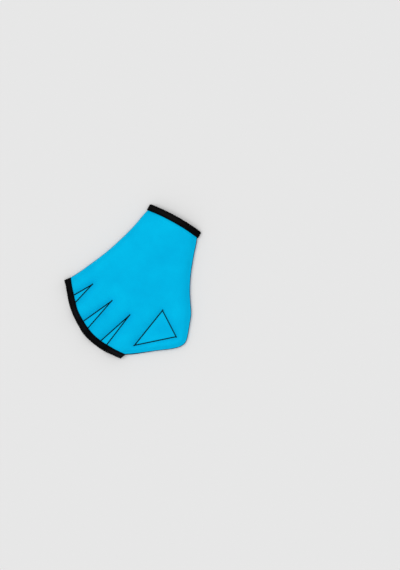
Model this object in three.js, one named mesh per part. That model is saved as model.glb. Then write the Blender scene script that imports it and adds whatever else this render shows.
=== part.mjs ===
// A webbed swim glove, lying flat with the back of the hand up: two neoprene panels joined at their
// side seams, a closed thumb pocket, and stitched webs that part four open finger channels. Folded
// tape binds the wrist opening as one ring, and each panel's finger edge as one strip.
// Millimetres. +Z is up, +Y runs from the wrist to the middle finger, and the thumb points to -X.
// The origin is on the resting plane, under the palm, on the line up from the middle of the wrist.
import * as THREE from 'three';

// Plan of the glove
const WRIST_WIDTH = 76;
const WRIST_DISTANCE = 101;
const WRIST_BULGE = 2.4;
const WRIST_TILT_DEG = 6;
const FINGER_CHORD = 124.7;
const FINGER_CENTRE_X = 12.9;
const FINGER_CENTRE_Y = 67.8;
const FINGER_BULGE = 20.3;
const FINGER_TILT_DEG = -19.5;
const FINGER_SKEW = 0.12;
const FINGER_LEAN = 0.23;
const THUMB_REACH = 103;
const THUMB_HEIGHT = 22;
const LITTLE_SIDE_BOW = 5.5;
const THUMB_SIDE_BOW = 3.1;
const THUMB_EDGE_BOW = 5.8;
const WEB_LENGTH = 49.5;

// Cloth
const PANEL_THICKNESS = 2;
const SEAM_THICKNESS = 1.5;
const BOUND_THICKNESS = 1;
const TAPE_THICKNESS = 1;
const WRIST_BINDING_WIDTH = 9;
const FINGER_BINDING_WIDTH = 8.8;
const PALM_PEEK = 1.3;
const PEEK_FADE = 20;
const INNER_LEG_SHARE = 0.85;
const CLEARANCE = 0.25;
const SEAM_BAND = 2;
const SEWN_WIDTH = 5.5;

// How the empty glove stands open
const SEAM_HEIGHT = 4;
const DOME_HEIGHT = 7;
const RISE_LENGTH = 6;
const RISE_POWER = 1.25;
const BLEND = 3;
const FLOOR_OPENNESS = 0.45;
const PRESS_LENGTH = 3;

// Facets
const LEAN_TURNS = 4;
const EDGE_STEP = 5.5;
const FINE_STEP = 6;
const FINE_REACH = 15;
const LATTICE_DRIFT = 0.2;
const LATTICE_KEEP_OFF = 0.6;
const FAR_CORNERS = 20;
const BOUND_STEP_SHARE = 1.6;
const OPENING_STEPS = 128;

// How far each side bows in from the straight line between its ends, as shares of that line and of
// the side's own bow.
const LITTLE_SIDE = [
  { along: 0.06, bow: 0.12 },
  { along: 0.14, bow: 0.45 },
  { along: 0.26, bow: 0.77 },
  { along: 0.4, bow: 0.95 },
  { along: 0.54, bow: 1.0 },
  { along: 0.66, bow: 0.87 },
  { along: 0.78, bow: 0.62 },
  { along: 0.9, bow: 0.35 },
];
const THUMB_SIDE = [
  { along: 0.05, bow: 0.03 },
  { along: 0.14, bow: 0.46 },
  { along: 0.24, bow: 0.78 },
  { along: 0.34, bow: 1.0 },
  { along: 0.44, bow: 0.9 },
  { along: 0.54, bow: 0.52 },
  { along: 0.64, bow: -0.2 },
  { along: 0.74, bow: -0.88 },
  { along: 0.84, bow: -0.66 },
  { along: 0.93, bow: -0.42 },
];
// The thumb's front edge, from the thumb tip to the finger edge, bows outwards.
const THUMB_EDGE = [
  { along: 0.04, bow: -0.5 },
  { along: 0.09, bow: -0.8 },
  { along: 0.15, bow: -0.97 },
  { along: 0.22, bow: -1.0 },
  { along: 0.34, bow: -0.9 },
  { along: 0.5, bow: -0.68 },
  { along: 0.7, bow: -0.48 },
  { along: 0.9, bow: -0.24 },
];
// Each web's two ends on the finger edge and its tip's place, counted from -1 at the thumb's end to
// 1 at the little finger's, and its length as a share of the longest web.
const WEBS = [
  { from: -0.613, to: -0.461, tip: -0.369, length: 1.0 },
  { from: -0.093, to: 0.092, tip: 0.095, length: 0.92 },
  { from: 0.5, to: 0.657, tip: 0.618, length: 0.595 },
];
// The corners of the stitched web beside the thumb, as shares of the thumb's reach and of the
// finger edge's distance.
const THUMB_WEB = [
  { across: -0.53, along: 0.101 },
  { across: -0.861, along: 0.364 },
  { across: -0.492, along: 0.958 },
];
// The section of a folded strip, from its leg on the outer face round the fold to its inner leg and
// back: depth as a share of the strip's width and of the tape's thickness, the side of the cloth
// from 1 outside to -1 inside, and the distance from the cloth as a share of the tape's thickness.
const STRIP_SECTION = [
  { width: 1, tape: 0, side: 1, away: 1 },
  { width: 0.5, tape: 0, side: 1, away: 1 },
  { width: 0, tape: 0.5, side: 1, away: 1 },
  { width: 0, tape: 0, side: 0.5, away: 1 },
  { width: 0, tape: 0, side: -0.5, away: 1 },
  { width: 0, tape: 0.5, side: -1, away: 1 },
  { width: 0.5, tape: 0, side: -1, away: 1 },
  { width: INNER_LEG_SHARE, tape: 0, side: -1, away: 1 },
  { width: INNER_LEG_SHARE, tape: 0, side: -1, away: 0 },
  { width: 0.5, tape: 0, side: -1, away: 0 },
  { width: 0, tape: 1, side: -1, away: 0 },
  { width: 0, tape: 1, side: -0.4, away: 0 },
  { width: 0, tape: 1, side: 0.4, away: 0 },
  { width: 0, tape: 1, side: 1, away: 0 },
  { width: 0.5, tape: 0, side: 1, away: 0 },
  { width: 1, tape: 0, side: 1, away: 0 },
];
// The same for the ring round the wrist, whose loops run outside both panels or inside them.
const RING_SECTION = [
  { width: 1, tape: 0, loop: 'outside', away: 1 },
  { width: 0.5, tape: 0, loop: 'outside', away: 1 },
  { width: 0, tape: 0.5, loop: 'outside', away: 1 },
  { width: 0, tape: 0, loop: 'outside', away: 0.5 },
  { width: 0, tape: 0, loop: 'inside', away: 0.5 },
  { width: 0, tape: 0.5, loop: 'inside', away: 1 },
  { width: 0.5, tape: 0, loop: 'inside', away: 1 },
  { width: INNER_LEG_SHARE, tape: 0, loop: 'inside', away: 1 },
  { width: INNER_LEG_SHARE, tape: 0, loop: 'inside', away: 0 },
  { width: 0.5, tape: 0, loop: 'inside', away: 0 },
  { width: 0, tape: 1, loop: 'inside', away: 0 },
  { width: 0, tape: 1, loop: 'outside', away: 0 },
  { width: 0.5, tape: 0, loop: 'outside', away: 0 },
  { width: 1, tape: 0, loop: 'outside', away: 0 },
];
// How a loop of the ring turns over a side seam: the drop from the back panel to the palm panel, and
// how far out it bulges, as a share of the tape's distance from the cloth.
const RING_TURNS = {
  outside: [
    { drop: 0.1, out: 0.7 },
    { drop: 0.3, out: 1 },
    { drop: 0.7, out: 1 },
    { drop: 0.9, out: 0.7 },
  ],
  inside: [
    { drop: 0.15, out: 0.3 },
    { drop: 0.4, out: 0.4 },
    { drop: 0.6, out: 0.4 },
    { drop: 0.85, out: 0.3 },
  ],
};

const { ceil, cos, sin, min, max, exp, hypot, round, sqrt, PI } = Math;
const clamp01 = (x) => min(1, max(0, x));
const mix = (a, b, share) => a + (b - a) * share;
const smooth = (x) => clamp01(x) ** 2 * (3 - 2 * clamp01(x));
const spread = (count) => Array.from({ length: count + 1 }, (_, i) => i / count);
const radians = (degrees) => (degrees * PI) / 180;

const TAPE_REACH = TAPE_THICKNESS + CLEARANCE;
const BOUND_STACK = BOUND_THICKNESS + 2 * TAPE_REACH;
const BOUND_STEP = BOUND_STEP_SHARE * PRESS_LENGTH;

// A point of the finger edge at place -1 to 1, that many millimetres inside its outer line.
function fingerPoint(place, inside) {
  const tilt = radians(FINGER_TILT_DEG);
  const lean = (FINGER_LEAN * (1 + place)) / 2;
  const across = (place * FINGER_CHORD) / 2 - lean * inside;
  const out = FINGER_BULGE * (1 - place ** 2) * (1 - FINGER_SKEW * place) - inside;
  const x = FINGER_CENTRE_X + across * cos(tilt) - out * sin(tilt);
  const y = FINGER_CENTRE_Y + across * sin(tilt) + out * cos(tilt);
  return new THREE.Vector2(x, y);
}

// The same for the wrist edge. The panels end inside the ring of tape that wraps their side seams.
function wristPoint(place, inside) {
  const tilt = radians(WRIST_TILT_DEG);
  const across = place * (WRIST_WIDTH / 2 - TAPE_REACH);
  const out = WRIST_BULGE * (1 - place ** 2) - inside;
  const x = across * cos(tilt) + out * sin(tilt);
  const y = -WRIST_DISTANCE + across * sin(tilt) - out * cos(tilt);
  return new THREE.Vector2(x, y);
}

// The points of a side between two ends, bowed to the left of the way from start to end.
function bowed(start, end, bow, rows) {
  const way = end.clone().sub(start);
  const left = new THREE.Vector2(-way.y, way.x).normalize();
  return rows.map((row) =>
    start.clone().addScaledVector(way, row.along).addScaledVector(left, bow * row.bow),
  );
}

// A smooth line through points, in steps of about the given length.
function splined(points, step) {
  const curve = new THREE.CatmullRomCurve3(points.map((p) => new THREE.Vector3(p.x, p.y, 0)));
  const count = max(2, round(curve.getLength() / step));
  return curve.getSpacedPoints(count).map((p) => new THREE.Vector2(p.x, p.y));
}

const thumbTip = new THREE.Vector2(-THUMB_REACH, THUMB_HEIGHT);

function littleSide() {
  const start = wristPoint(1, WRIST_BINDING_WIDTH);
  const end = fingerPoint(1, FINGER_BINDING_WIDTH);
  return [start, ...bowed(start, end, LITTLE_SIDE_BOW, LITTLE_SIDE), end];
}

function thumbSide() {
  const start = wristPoint(-1, WRIST_BINDING_WIDTH);
  const end = fingerPoint(-1, FINGER_BINDING_WIDTH);
  const lower = bowed(start, thumbTip, -THUMB_SIDE_BOW, THUMB_SIDE);
  const upper = bowed(thumbTip, end, -THUMB_EDGE_BOW, THUMB_EDGE);
  return [start, ...lower, thumbTip, ...upper, end];
}

// A side with its straight ends inside the two bindings, from the wrist to the fingers.
function fullSide(place, points) {
  const middle = splined(points, EDGE_STEP);
  const wrist = [TAPE_REACH, WRIST_BINDING_WIDTH / 2].map((inside) => wristPoint(place, inside));
  const finger = [FINGER_BINDING_WIDTH / 2, TAPE_REACH].map((inside) => fingerPoint(place, inside));
  return [...wrist, ...middle, ...finger];
}

const sides = { little: fullSide(1, littleSide()), thumb: fullSide(-1, thumbSide()) };

// Each web's outline: its tip, then the two lines to the finger edge, straight on under the tape.
const webOutlines = WEBS.map((web) => {
  const foot = fingerPoint((web.from + web.to) / 2, FINGER_BINDING_WIDTH);
  const tilt = radians(FINGER_TILT_DEG);
  const shift = ((web.tip - (web.from + web.to) / 2) * FINGER_CHORD) / 2;
  const back = sqrt((WEB_LENGTH * web.length) ** 2 - shift ** 2);
  const x = foot.x + shift * cos(tilt) + back * sin(tilt);
  const y = foot.y + shift * sin(tilt) - back * cos(tilt);
  const ends = [web.from, web.to].map((place) => [
    fingerPoint(place, FINGER_BINDING_WIDTH),
    fingerPoint(place, 0),
  ]);
  return [new THREE.Vector2(x, y), ends[1][0], ends[1][1], ends[0][1], ends[0][0]];
});
const thumbWeb = THUMB_WEB.map(
  (corner) => new THREE.Vector2(corner.across * THUMB_REACH, corner.along * FINGER_CENTRE_Y),
);

function toSegment(p, a, b) {
  const wayX = b.x - a.x;
  const wayY = b.y - a.y;
  const share = clamp01(((p.x - a.x) * wayX + (p.y - a.y) * wayY) / (wayX ** 2 + wayY ** 2));
  return hypot(p.x - a.x - wayX * share, p.y - a.y - wayY * share);
}

function toLine(p, points) {
  return min(...points.slice(1).map((q, i) => toSegment(p, points[i], q)));
}

function isInside(p, outline) {
  let inside = false;
  outline.forEach((a, i) => {
    const b = outline[(i + 1) % outline.length];
    const crosses = a.y > p.y !== b.y > p.y;
    if (crosses && p.x < ((b.x - a.x) * (p.y - a.y)) / (b.y - a.y) + a.x) inside = !inside;
  });
  return inside;
}

const toPatch = (p, outline) => (isInside(p, outline) ? 0 : toLine(p, [...outline, outline[0]]));

// How far the two panels stand apart: 0 on seams and webs, near 1 in the open palm. The distances to
// all of them are blended, so that a channel's crown runs midway between its two sides.
function openness(p) {
  const seams = [sides.little, sides.thumb].map((side) => toLine(p, side) - SEAM_BAND);
  const webs = [...webOutlines, thumbWeb].map((outline) => toPatch(p, outline));
  const distances = [...seams, ...webs];
  if (min(...distances) <= 0) return 0;
  const blended = distances.reduce((sum, distance) => sum + distance ** -BLEND, 0) ** (-1 / BLEND);
  return 1 - exp(-((blended / RISE_LENGTH) ** RISE_POWER));
}

// The place along the finger edge that a point of the plan belongs to, and its depth inside it.
function fingerCoordinates(p) {
  const tilt = radians(FINGER_TILT_DEG);
  const x = p.x - FINGER_CENTRE_X;
  const y = p.y - FINGER_CENTRE_Y;
  const across = x * cos(tilt) + y * sin(tilt);
  const out = y * cos(tilt) - x * sin(tilt);
  let place = across / (FINGER_CHORD / 2);
  let inside = 0;
  for (let turn = 0; turn < LEAN_TURNS; turn += 1) {
    inside = FINGER_BULGE * (1 - place ** 2) * (1 - FINGER_SKEW * place) - out;
    const shallow = min(inside, FINGER_BINDING_WIDTH + PEEK_FADE);
    place = (across + (FINGER_LEAN * (1 + place) * shallow) / 2) / (FINGER_CHORD / 2);
  }
  return { place, inside };
}

// The same for the wrist edge.
function wristCoordinates(p) {
  const tilt = radians(WRIST_TILT_DEG);
  const y = p.y + WRIST_DISTANCE;
  const place = (p.x * cos(tilt) + y * sin(tilt)) / (WRIST_WIDTH / 2 - TAPE_REACH);
  return { place, inside: WRIST_BULGE * (1 - place ** 2) + y * cos(tilt) - p.x * sin(tilt) };
}

// The point that sets the form: the cloth under a tape keeps the form that it has beside the tape.
function formPoint(p, finger, wrist) {
  const fingerDepth = FINGER_BINDING_WIDTH + CLEARANCE;
  const wristDepth = WRIST_BINDING_WIDTH + CLEARANCE;
  if (finger.inside < fingerDepth) return fingerPoint(finger.place, fingerDepth);
  if (wrist.inside < wristDepth) return wristPoint(wrist.place, wristDepth);
  return p;
}

// 1 under the tape, 0 where the panel has its full thickness again.
const pressed = (inside, width) => 1 - clamp01((inside - width - CLEARANCE) / PRESS_LENGTH);

// The heights of both panels' middle surfaces and their thickness at a point of the plan.
function cloth(p) {
  const atFinger = fingerCoordinates(p);
  const atWrist = wristCoordinates(p);
  const form = formPoint(p, atFinger, atWrist);
  const open = openness(form);
  const finger = pressed(atFinger.inside, FINGER_BINDING_WIDTH);
  const wrist = pressed(atWrist.inside, WRIST_BINDING_WIDTH);
  const sewn = 1 - clamp01(min(toLine(form, sides.little), toLine(form, sides.thumb)) / SEWN_WIDTH);
  const free = mix(PANEL_THICKNESS, SEAM_THICKNESS, sewn);
  const thickness = mix(free, BOUND_THICKNESS, max(finger, wrist));
  const closedStack = mix(thickness, BOUND_STACK, finger);
  const openStack = mix(thickness, BOUND_STACK, max(finger, wrist));
  const halfClosed = (CLEARANCE + closedStack) / 2;
  const down = smooth(open / FLOOR_OPENNESS);
  return {
    thickness,
    palm: mix(SEAM_HEIGHT - halfClosed, openStack / 2, down),
    back: SEAM_HEIGHT + halfClosed + DOME_HEIGHT * open,
  };
}

// Half the panel's thickness, measured upright, where the panel slopes.
function uprightHalf(p, panel, thickness) {
  const step = CLEARANCE;
  const at = (dx, dy) => cloth(new THREE.Vector2(p.x + dx, p.y + dy))[panel];
  const slopeX = (at(step, 0) - at(-step, 0)) / (2 * step);
  const slopeY = (at(0, step) - at(0, -step)) / (2 * step);
  return (thickness / 2) * hypot(1, slopeX, slopeY);
}

// The palm panel reaches further out at the finger edge, and comes back to the back panel's plan
// deeper inside.
function slid(p, panel) {
  if (panel === 'back') return p;
  const { place, inside } = fingerCoordinates(p);
  const share = 1 - smooth((inside - FINGER_BINDING_WIDTH) / PEEK_FADE);
  const way = fingerPoint(place, inside - PALM_PEEK).sub(fingerPoint(place, inside));
  return p.clone().addScaledVector(way, share);
}

const asPoint = (p, height) => new THREE.Vector3(p.x, p.y, height);

// A closed body from loops of points of equal number, the last loop joined back to the first.
function ringOfLoops(loops) {
  const positions = loops.flat().flatMap((p) => [p.x, p.y, p.z]);
  const count = loops[0].length;
  const indices = [];
  loops.forEach((_, i) => {
    const here = i * count;
    const next = ((i + 1) % loops.length) * count;
    for (let j = 0; j < count; j += 1) {
      const k = (j + 1) % count;
      indices.push(here + j, next + j, next + k, here + j, next + k, here + k);
    }
  });
  return meshed(positions, indices);
}

// A closed body from one section repeated along a line, with flat ends.
function swept(sections) {
  const positions = sections.flat().flatMap((p) => [p.x, p.y, p.z]);
  const count = sections[0].length;
  const last = (sections.length - 1) * count;
  const indices = [];
  for (let i = 0; i < sections.length - 1; i += 1) {
    for (let j = 0; j < count; j += 1) {
      const a = i * count + j;
      const b = i * count + ((j + 1) % count);
      indices.push(a, b, b + count, a, b + count, a + count);
    }
  }
  // The section is a folded strip, so its outer and inner halves pair off point by point.
  for (let j = 0; j < count / 2 - 1; j += 1) {
    const k = count - 1 - j;
    indices.push(j, k, k - 1, j, k - 1, j + 1);
    indices.push(last + j, last + k - 1, last + k, last + j, last + j + 1, last + k - 1);
  }
  return meshed(positions, indices);
}

function meshed(positions, indices) {
  const geometry = new THREE.BufferGeometry();
  geometry.setAttribute('position', new THREE.Float32BufferAttribute(positions, 3));
  geometry.setIndex(indices);
  geometry.computeVertexNormals();
  return geometry;
}

// Delaunay triangles over points of the plan, each turning left.
function triangles(points) {
  const reach = FAR_CORNERS * (THUMB_REACH + WRIST_DISTANCE);
  const all = [
    ...points,
    new THREE.Vector2(-reach, -reach),
    new THREE.Vector2(reach, -reach),
    new THREE.Vector2(0, reach),
  ];
  const circled = (a, b, c) => {
    const [p, q, r] = [all[a], all[b], all[c]];
    const d = 2 * (p.x * (q.y - r.y) + q.x * (r.y - p.y) + r.x * (p.y - q.y));
    const [pp, qq, rr] = [p, q, r].map((v) => v.lengthSq());
    const x = (pp * (q.y - r.y) + qq * (r.y - p.y) + rr * (p.y - q.y)) / d;
    const y = (pp * (r.x - q.x) + qq * (p.x - r.x) + rr * (q.x - p.x)) / d;
    return { corners: [a, b, c], x, y, reach: hypot(p.x - x, p.y - y) };
  };
  let made = [circled(points.length, points.length + 1, points.length + 2)];
  points.forEach((p, i) => {
    const hit = made.filter((t) => hypot(p.x - t.x, p.y - t.y) < t.reach);
    const edges = hit.flatMap(({ corners: [a, b, c] }) => [[a, b], [b, c], [c, a]]);
    const known = new Set(edges.map(([a, b]) => `${a} ${b}`));
    const rim = edges.filter(([a, b]) => !known.has(`${b} ${a}`));
    const gone = new Set(hit);
    made = made.filter((t) => !gone.has(t)).concat(rim.map(([a, b]) => circled(a, b, i)));
  });
  return made.map((t) => t.corners).filter((corners) => max(...corners) < points.length);
}

// The places along the finger edge where its strips and the panels have their points.
function fingerPlaces() {
  const stops = [-1, ...WEBS.flatMap((web) => [web.from, web.to]), 1];
  const places = stops.slice(1).flatMap((stop, i) => {
    const length = fingerPoint(stop, 0).distanceTo(fingerPoint(stops[i], 0));
    const count = max(2, ceil(length / BOUND_STEP));
    return spread(count).slice(1).map((share) => mix(stops[i], stop, share));
  });
  return [-1, ...places];
}

const wristPlaces = spread(ceil(WRIST_WIDTH / BOUND_STEP)).map((share) => 2 * share - 1);

// The lines of points that the panels' facets follow, and the outline that they fill.
function planPoints() {
  const wristRows = [WRIST_BINDING_WIDTH / 2, WRIST_BINDING_WIDTH + CLEARANCE];
  const fingerRows = [FINGER_BINDING_WIDTH / 2, FINGER_BINDING_WIDTH + CLEARANCE];
  const outline = [
    ...wristPlaces.slice(0, -1).map((place) => wristPoint(place, TAPE_REACH)),
    ...sides.little.slice(0, -1),
    ...fingerPlaces().slice(1).reverse().map((place) => fingerPoint(place, TAPE_REACH)),
    ...sides.thumb.slice(1).reverse(),
  ];
  const bands = [
    ...[...wristRows, wristRows[1] + PRESS_LENGTH].flatMap((inside) =>
      wristPlaces.slice(1, -1).map((place) => wristPoint(place, inside)),
    ),
    ...[...fingerRows, fingerRows[1] + PRESS_LENGTH].flatMap((inside) =>
      fingerPlaces().slice(1, -1).map((place) => fingerPoint(place, inside)),
    ),
  ];
  const inner = (side, turn) =>
    side.slice(3, -3).map((p, i) => {
      const way = side[i + 4].clone().sub(side[i + 2]).normalize();
      return new THREE.Vector2(p.x - turn * way.y * SEAM_BAND, p.y + turn * way.x * SEAM_BAND);
    });
  const webLines = webOutlines.flatMap(([tip, right, , , left]) => [
    ...edgePoints(tip, right).slice(0, -1),
    ...edgePoints(tip, left).slice(1, -1),
  ]);
  const thumbLines = thumbWeb.flatMap((a, i) => edgePoints(a, thumbWeb[(i + 1) % 3]).slice(1));
  const seams = [...inner(sides.little, 1), ...inner(sides.thumb, -1)];
  return { outline, lines: [...bands, ...webLines, ...thumbLines, ...seams] };
}

function edgePoints(a, b) {
  return spread(max(1, round(a.distanceTo(b) / EDGE_STEP))).map((share) => a.clone().lerp(b, share));
}

// Even points over the plan: fine near seams and webs, where the cloth curves, and wider apart in
// the open palm.
function latticePoints(outline, fixed) {
  const rowStep = FINE_STEP * sin(PI / 3);
  const low = outline.reduce((m, p) => new THREE.Vector2(min(m.x, p.x), min(m.y, p.y)));
  const high = outline.reduce((m, p) => new THREE.Vector2(max(m.x, p.x), max(m.y, p.y)));
  const kept = [];
  for (let row = 1; low.y + row * rowStep < high.y; row += 1) {
    for (let column = 0; low.x + column * FINE_STEP < high.x; column += 1) {
      // A slight drift keeps any four points off one circle, so that the triangles are unique.
      const drift = LATTICE_DRIFT * sin(row ** 2 + column ** 2);
      const x = low.x + (column + (row % 2) / 2) * FINE_STEP + drift;
      const p = new THREE.Vector2(x, low.y + row * rowStep);
      const near = min(...fixed.map((q) => p.distanceTo(q)));
      const wide = near > FINE_REACH && (row % 2 || (column + row / 2) % 2);
      if (near > FINE_STEP * LATTICE_KEEP_OFF && !wide && isInside(p, outline)) kept.push(p);
    }
  }
  return kept;
}

const plan = (() => {
  const { outline, lines } = planPoints();
  const fixed = [...outline, ...lines];
  const points = [...fixed, ...latticePoints(outline, fixed)];
  const corners = triangles(points).filter((t) => {
    const [a, b, c] = t.map((i) => points[i]);
    return isInside({ x: (a.x + b.x + c.x) / 3, y: (a.y + b.y + c.y) / 3 }, outline);
  });
  return { points, corners };
})();

// One panel of neoprene over the plan: an outer face, an inner face and the cut edge between them.
function panelGeometry(panel) {
  const faces = plan.points.map((p) => {
    const here = cloth(p);
    return { p: slid(p, panel), middle: here[panel], half: uprightHalf(p, panel, here.thickness) };
  });
  const upper = faces.map(({ p, middle, half }) => asPoint(p, middle + half));
  const lower = faces.map(({ p, middle, half }) => asPoint(p, middle - half));
  const count = plan.points.length;
  const indices = plan.corners.flatMap(([a, b, c]) => [a, b, c, a + count, c + count, b + count]);
  const edges = plan.corners.flatMap(([a, b, c]) => [[a, b], [b, c], [c, a]]);
  const known = new Set(edges.map(([a, b]) => `${a} ${b}`));
  edges.filter(([a, b]) => !known.has(`${b} ${a}`)).forEach(([a, b]) => {
    indices.push(a, a + count, b + count, a, b + count, b);
  });
  return meshed([...upper, ...lower].flatMap((p) => [p.x, p.y, p.z]), indices);
}

// A strip of tape folded over one panel's finger edge: a leg on each face and the fold between.
function fingerBindingGeometry(panel, outward) {
  const sections = fingerPlaces().map((place) =>
    STRIP_SECTION.map((row) => {
      const inside = row.width * FINGER_BINDING_WIDTH + row.tape * TAPE_THICKNESS;
      const under = fingerPoint(place, max(inside, TAPE_REACH));
      const here = cloth(under);
      const gap = CLEARANCE + row.away * TAPE_THICKNESS;
      const half = uprightHalf(under, panel, here.thickness) + gap;
      return asPoint(slid(fingerPoint(place, inside), panel), here[panel] + outward * row.side * half);
    }),
  );
  return swept(outward > 0 ? sections.reverse() : sections);
}

// One loop of the ring at one depth inside the wrist edge.
function wristLoop(row) {
  const inside = row.width * WRIST_BINDING_WIDTH + row.tape * TAPE_THICKNESS;
  const gap = CLEARANCE + row.away * TAPE_THICKNESS;
  const depth = max(inside, TAPE_REACH);
  const outside = row.loop === 'outside';
  const narrow = outside ? 1 : wristOpeningShare(depth);
  const at = (place, panel) => {
    const under = wristPoint(place * narrow, depth);
    const here = cloth(under);
    const away = (panel === 'back') === outside ? 1 : -1;
    const height = here[panel] + away * (uprightHalf(under, panel, here.thickness) + gap);
    return asPoint(wristPoint(place * narrow, inside), height);
  };
  const tilt = radians(WRIST_TILT_DEG);
  const bulge = outside ? gap : TAPE_THICKNESS;
  const turn = (place) =>
    RING_TURNS[row.loop].map(({ drop, out }) => {
      const p = at(place, 'back').lerp(at(place, 'palm'), drop);
      p.x += out * bulge * place * cos(tilt);
      p.y += out * bulge * place * sin(tilt);
      return p;
    });
  const back = wristPlaces.map((place) => at(place, 'back'));
  const palm = [...wristPlaces].reverse().map((place) => at(place, 'palm'));
  return [...back, ...turn(1), ...palm, ...turn(-1).reverse()];
}

// The share of the wrist's width where the opening is high enough for the tape's two inner legs.
function wristOpeningShare(depth) {
  const needed = 3 * TAPE_REACH;
  const clear = (place) => {
    const here = cloth(wristPoint(place, depth));
    return here.back - here.palm - here.thickness;
  };
  const enough = spread(OPENING_STEPS).filter((share) => min(clear(share), clear(-share)) > needed);
  return enough[enough.length - 1];
}

// The ring of tape folded over both panels round the wrist opening.
function wristBindingGeometry() {
  return ringOfLoops(RING_SECTION.map(wristLoop));
}

const neoprene = new THREE.MeshStandardMaterial({ color: 0x05b4e6, roughness: 0.75, metalness: 0 });
const tape = new THREE.MeshStandardMaterial({ color: 0x0b0b0d, roughness: 0.8, metalness: 0 });

const glove = new THREE.Group();

function add(name, geometry, material) {
  const mesh = new THREE.Mesh(geometry, material);
  mesh.name = name;
  glove.add(mesh);
}

add('back_panel', panelGeometry('back'), neoprene);
add('palm_panel', panelGeometry('palm'), neoprene);
add('wrist_binding', wristBindingGeometry(), tape);
add('back_finger_binding', fingerBindingGeometry('back', 1), tape);
add('palm_finger_binding', fingerBindingGeometry('palm', -1), tape);

export default glove;
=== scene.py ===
"""Dresses a webbed swim glove: fine neoprene panels, ribbed tape and stitched webs."""
import math

import bpy
import numpy as np
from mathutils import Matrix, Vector
from mathutils.geometry import delaunay_2d_cdt


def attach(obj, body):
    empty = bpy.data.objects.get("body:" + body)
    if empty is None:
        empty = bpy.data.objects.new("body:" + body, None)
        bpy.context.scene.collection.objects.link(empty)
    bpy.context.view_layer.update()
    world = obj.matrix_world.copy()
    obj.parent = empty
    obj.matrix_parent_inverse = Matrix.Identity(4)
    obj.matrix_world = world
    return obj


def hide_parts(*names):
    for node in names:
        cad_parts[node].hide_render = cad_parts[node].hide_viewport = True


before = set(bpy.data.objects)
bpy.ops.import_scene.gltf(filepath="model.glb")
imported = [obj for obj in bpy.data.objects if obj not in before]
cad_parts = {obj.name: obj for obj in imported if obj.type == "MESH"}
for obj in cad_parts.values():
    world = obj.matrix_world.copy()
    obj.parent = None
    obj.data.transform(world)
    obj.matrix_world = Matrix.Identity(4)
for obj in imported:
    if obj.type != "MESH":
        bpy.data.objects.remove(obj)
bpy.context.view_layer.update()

# Plan of the glove, in millimetres in the frame's own axes
WRIST_WIDTH = 76
WRIST_DISTANCE = 101
WRIST_BULGE = 2.4
WRIST_TILT = math.radians(6)
FINGER_CHORD = 124.7
FINGER_CENTRE = np.array([12.9, 67.8])
FINGER_BULGE = 20.3
FINGER_TILT = math.radians(-19.5)
FINGER_SKEW = 0.12
FINGER_LEAN = 0.23
THUMB_TIP = np.array([-103.0, 22.0])
LITTLE_SIDE_BOW = 5.5
THUMB_SIDE_BOW = 3.1
THUMB_EDGE_BOW = 5.8
WEB_LENGTH = 49.5

# Cloth
PANEL_THICKNESS = 2
SEAM_THICKNESS = 1.5
BOUND_THICKNESS = 1
TAPE_THICKNESS = 0.9
TAPE_REACH = 1.25
WRIST_BINDING_WIDTH = 9
FINGER_BINDING_WIDTH = 8.8
PALM_PEEK = 1.3
PEEK_FADE = 20
INNER_LEG_SHARE = 0.85
CLEARANCE = 0.25
TOUCH = 0.05
SEAM_BAND = 2
SEWN_WIDTH = 5.5

# How the empty glove stands open
SEAM_HEIGHT = 4
DOME_HEIGHT = 7
RISE_LENGTH = 6
RISE_POWER = 1.25
BLEND = 3
FLOOR_OPENNESS = 0.45
PRESS_LENGTH = 3

# Each side's bow from the straight line between its ends: share along it, share of the bow
LITTLE_SIDE = [
    (0.06, 0.12), (0.14, 0.45), (0.26, 0.77), (0.4, 0.95),
    (0.54, 1.0), (0.66, 0.87), (0.78, 0.62), (0.9, 0.35),
]
THUMB_SIDE = [
    (0.05, 0.03), (0.14, 0.46), (0.24, 0.78), (0.34, 1.0), (0.44, 0.9),
    (0.54, 0.52), (0.64, -0.2), (0.74, -0.88), (0.84, -0.66), (0.93, -0.42),
]
THUMB_EDGE = [
    (0.04, -0.5), (0.09, -0.8), (0.15, -0.97), (0.22, -1.0),
    (0.34, -0.9), (0.5, -0.68), (0.7, -0.48), (0.9, -0.24),
]
# Each web: its two ends and its tip along the finger edge, from -1 to 1, and its share of the length
WEBS = [
    dict(start=-0.613, end=-0.461, tip=-0.369, length=1.0),
    dict(start=-0.093, end=0.092, tip=0.095, length=0.92),
    dict(start=0.5, end=0.657, tip=0.618, length=0.595),
]
THUMB_WEB = np.array([[-54.6, 6.8], [-88.7, 24.7], [-50.7, 65.0]])
# How the bound finger edge strays from its even curve: place, and millimetres further inside at its
# outer line and at the tape's inner edge. The tape runs straight from row to row.
FINGER_STRAY = [
    (-1.0, 0.2, -0.5), (-0.84, 0.9, 0.9), (-0.7, 0.4, 1.3), (-0.5, 0.5, 0.5), (-0.3, 0.1, 0.4),
    (-0.12, -0.2, 0.0), (0.02, 0.6, -0.2), (0.2, 0.7, -0.1), (0.4, 0.5, -0.5), (0.58, 0.6, -0.2),
    (0.76, 1.1, 0.2), (0.88, 1.0, -0.1), (1.0, 0.0, -0.7),
]

MM = 0.001


def smooth(x):
    """A soft step from 0 to 1."""
    x = np.clip(x, 0, 1)
    return x * x * (3 - 2 * x)


def mix(a, b, share):
    """The value that lies a share of the way from a to b."""
    return a + (b - a) * share


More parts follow.
